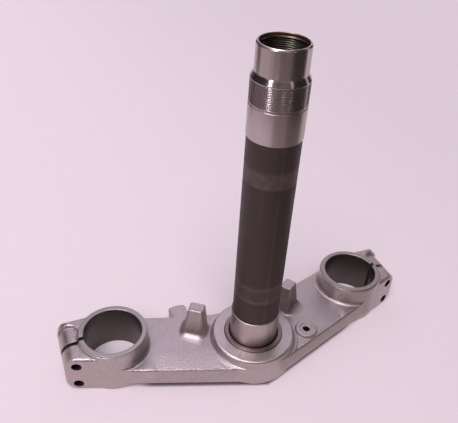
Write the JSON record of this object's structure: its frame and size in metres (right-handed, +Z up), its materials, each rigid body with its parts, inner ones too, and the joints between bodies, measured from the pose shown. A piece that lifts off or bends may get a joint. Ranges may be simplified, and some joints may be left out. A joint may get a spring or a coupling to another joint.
{
  "type": "motorcycle triple clamp",
  "caption": "Lower triple clamp of a motorcycle fork: a cast V-shaped yoke with a split clamp ring at each end, steering stops, and a tall threaded steering stem pressed into its boss.",
  "frame": {"origin": "on the steering axis, at the machined shoulder that the lower bearing sits on", "axes": "+Z up the steering stem, +X from the stem towards one fork clamp, +Y towards the side with the steering stops"},
  "size_m": [0.286, 0.0869, 0.2566],
  "materials": {
    "cast_silver": "satin silver over a fine cast grain",
    "ground_steel": "ground seats and thread, dark oxide tube between them"
  },
  "bodies": {
    "root": {"lower_yoke": "cast_silver", "steering_stem": "ground_steel"}
  },
  "joints": []
}
